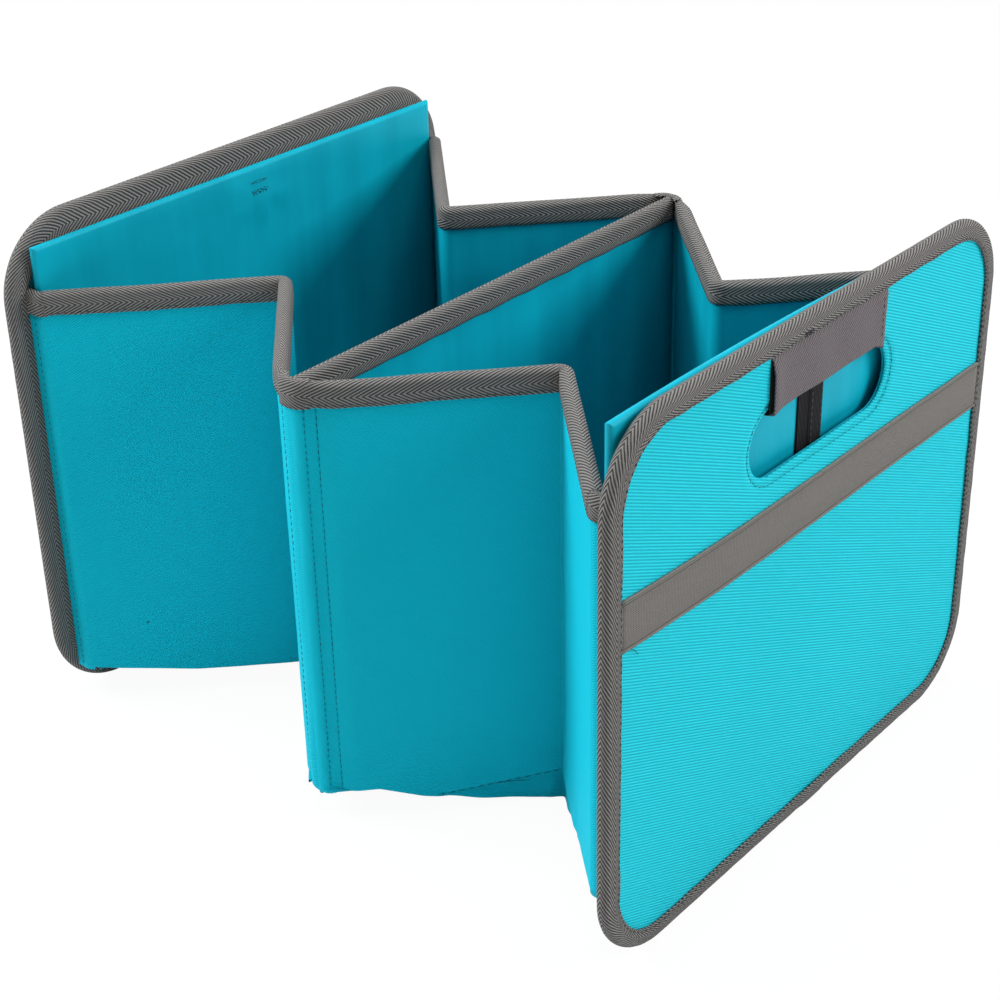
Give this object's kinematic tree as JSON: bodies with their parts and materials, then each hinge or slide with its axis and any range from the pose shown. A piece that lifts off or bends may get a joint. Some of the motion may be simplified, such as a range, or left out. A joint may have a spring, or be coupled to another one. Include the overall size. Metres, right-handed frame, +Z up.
{
  "type": "folding storage box",
  "caption": "Half-folded storage box of turquoise woven cloth with bound grey edges, two stiff end panels with handle holes, a middle divider and side walls that fold inwards.",
  "frame": {"origin": "on the ground below the middle of the divider, at the centre of the half-folded box", "axes": "+X along the box towards the front end, +Y to the right-hand wall, +Z up"},
  "size_m": [0.3738, 0.32, 0.272],
  "materials": {
    "woven_cloth": "plain woven polyester cloth, matt",
    "satin_lining": "smooth satin lining, slight sheen",
    "binding_tape": "herringbone binding tape",
    "elastic": "ribbed elastic webbing",
    "grip_webbing": "woven grip webbing",
    "strap": "black woven strap",
    "board": "pressed fibreboard"
  },
  "bodies": {
    "divider": {"divider_cover": "satin_lining", "divider_board": "board", "divider_binding": "binding_tape"},
    "front_left_mid_leaf": {"front_left_mid_leaf_cover": "woven_cloth", "front_left_mid_leaf_board": "board", "front_left_mid_leaf_binding": "binding_tape"},
    "front_left_end_leaf": {"front_left_end_leaf_cover": "woven_cloth", "front_left_end_leaf_board": "board", "front_left_end_leaf_binding": "binding_tape"},
    "front_right_mid_leaf": {"front_right_mid_leaf_cover": "woven_cloth", "front_right_mid_leaf_board": "board", "front_right_mid_leaf_binding": "binding_tape"},
    "front_right_end_leaf": {"front_right_end_leaf_cover": "woven_cloth", "front_right_end_leaf_board": "board", "front_right_end_leaf_binding": "binding_tape"},
    "front_end": {"front_end_outer_cloth": "woven_cloth", "front_end_board": "board", "front_end_lining": "satin_lining", "front_end_binding": "binding_tape", "front_end_elastic_band": "elastic", "front_end_grip": "grip_webbing", "front_end_base_plate_cover": "satin_lining", "front_end_base_plate_board": "board", "front_end_pull_strap": "strap"},
    "front_floor_mid": {"front_floor_mid": "satin_lining"},
    "front_floor_end": {"front_floor_end": "satin_lining"},
    "rear_left_mid_leaf": {"rear_left_mid_leaf_cover": "woven_cloth", "rear_left_mid_leaf_board": "board", "rear_left_mid_leaf_binding": "binding_tape"},
    "rear_left_end_leaf": {"rear_left_end_leaf_cover": "woven_cloth", "rear_left_end_leaf_board": "board", "rear_left_end_leaf_binding": "binding_tape"},
    "rear_right_mid_leaf": {"rear_right_mid_leaf_cover": "woven_cloth", "rear_right_mid_leaf_board": "board", "rear_right_mid_leaf_binding": "binding_tape"},
    "rear_right_end_leaf": {"rear_right_end_leaf_cover": "woven_cloth", "rear_right_end_leaf_board": "board", "rear_right_end_leaf_binding": "binding_tape"},
    "rear_end": {"rear_end_outer_cloth": "woven_cloth", "rear_end_board": "board", "rear_end_lining": "satin_lining", "rear_end_binding": "binding_tape", "rear_end_elastic_band": "elastic", "rear_end_grip": "grip_webbing", "rear_end_base_plate_cover": "satin_lining", "rear_end_base_plate_board": "board", "rear_end_pull_strap": "strap"},
    "rear_floor_mid": {"rear_floor_mid": "satin_lining"},
    "rear_floor_end": {"rear_floor_end": "satin_lining"}
  },
  "joints": [
    {"name": "front_fold", "type": "hinge", "parent": "divider", "child": "front_left_mid_leaf", "pos_m": [0.0038, -0.144, 0.125], "axis": [0, 0, 1], "range_deg": [-42, 42.9]},
    {"name": "front_left_mid_fold", "type": "hinge", "parent": "front_left_mid_leaf", "child": "front_left_end_leaf", "pos_m": [0.08818, -0.06586, 0.125], "axis": [0, 0, 1], "range_deg": [-86.3, 84.5]},
    {"name": "front_left_end_corner", "type": "hinge", "parent": "front_left_end_leaf", "child": "front_end", "pos_m": [0.17256, -0.144, 0.125], "axis": [0, 0, 1], "range_deg": [-42.5, 43.4]},
    {"name": "front_right_divider_corner", "type": "hinge", "parent": "divider", "child": "front_right_mid_leaf", "pos_m": [0.0038, 0.144, 0.125], "axis": [0, 0, 1], "range_deg": [-43.4, 42.5]},
    {"name": "front_right_mid_fold", "type": "hinge", "parent": "front_right_mid_leaf", "child": "front_right_end_leaf", "pos_m": [0.08818, 0.06586, 0.125], "axis": [0, 0, 1], "range_deg": [-84.5, 86.3]},
    {"name": "front_floor_divider_edge", "type": "hinge", "parent": "divider", "child": "front_floor_mid", "pos_m": [0.0038, 0, 0.014], "axis": [0, -1, 0], "range_deg": [-42.5, 43.4]},
    {"name": "front_floor_ridge", "type": "hinge", "parent": "front_floor_mid", "child": "front_floor_end", "pos_m": [0.08818, 0, 0.09214], "axis": [0, -1, 0], "range_deg": [-86.3, 84.5]},
    {"name": "rear_fold", "type": "hinge", "parent": "divider", "child": "rear_left_mid_leaf", "pos_m": [-0.0038, -0.144, 0.125], "axis": [0, 0, -1], "range_deg": [-42, 42.9]},
    {"name": "rear_left_mid_fold", "type": "hinge", "parent": "rear_left_mid_leaf", "child": "rear_left_end_leaf", "pos_m": [-0.08818, -0.06586, 0.125], "axis": [0, 0, -1], "range_deg": [-86.3, 84.5]},
    {"name": "rear_left_end_corner", "type": "hinge", "parent": "rear_left_end_leaf", "child": "rear_end", "pos_m": [-0.17256, -0.144, 0.125], "axis": [0, 0, -1], "range_deg": [-42.5, 43.4]},
    {"name": "rear_right_divider_corner", "type": "hinge", "parent": "divider", "child": "rear_right_mid_leaf", "pos_m": [-0.0038, 0.144, 0.125], "axis": [0, 0, -1], "range_deg": [-43.4, 42.5]},
    {"name": "rear_right_mid_fold", "type": "hinge", "parent": "rear_right_mid_leaf", "child": "rear_right_end_leaf", "pos_m": [-0.08818, 0.06586, 0.125], "axis": [0, 0, -1], "range_deg": [-84.5, 86.3]},
    {"name": "rear_floor_divider_edge", "type": "hinge", "parent": "divider", "child": "rear_floor_mid", "pos_m": [-0.0038, 0, 0.014], "axis": [0, 1, 0], "range_deg": [-42.5, 43.4]},
    {"name": "rear_floor_ridge", "type": "hinge", "parent": "rear_floor_mid", "child": "rear_floor_end", "pos_m": [-0.08818, 0, 0.09214], "axis": [0, 1, 0], "range_deg": [-86.3, 84.5]}
  ],
  "couplings": [
    {"joint": "front_left_mid_fold", "follows": "front_fold", "ratio": -2},
    {"joint": "front_left_end_corner", "follows": "front_fold", "ratio": 1},
    {"joint": "front_right_divider_corner", "follows": "front_fold", "ratio": -1},
    {"joint": "front_right_mid_fold", "follows": "front_fold", "ratio": 2},
    {"joint": "front_floor_divider_edge", "follows": "front_fold", "ratio": 1},
    {"joint": "front_floor_ridge", "follows": "front_fold", "ratio": -2},
    {"joint": "rear_left_mid_fold", "follows": "rear_fold", "ratio": -2},
    {"joint": "rear_left_end_corner", "follows": "rear_fold", "ratio": 1},
    {"joint": "rear_right_divider_corner", "follows": "rear_fold", "ratio": -1},
    {"joint": "rear_right_mid_fold", "follows": "rear_fold", "ratio": 2},
    {"joint": "rear_floor_divider_edge", "follows": "rear_fold", "ratio": 1},
    {"joint": "rear_floor_ridge", "follows": "rear_fold", "ratio": -2}
  ]
}
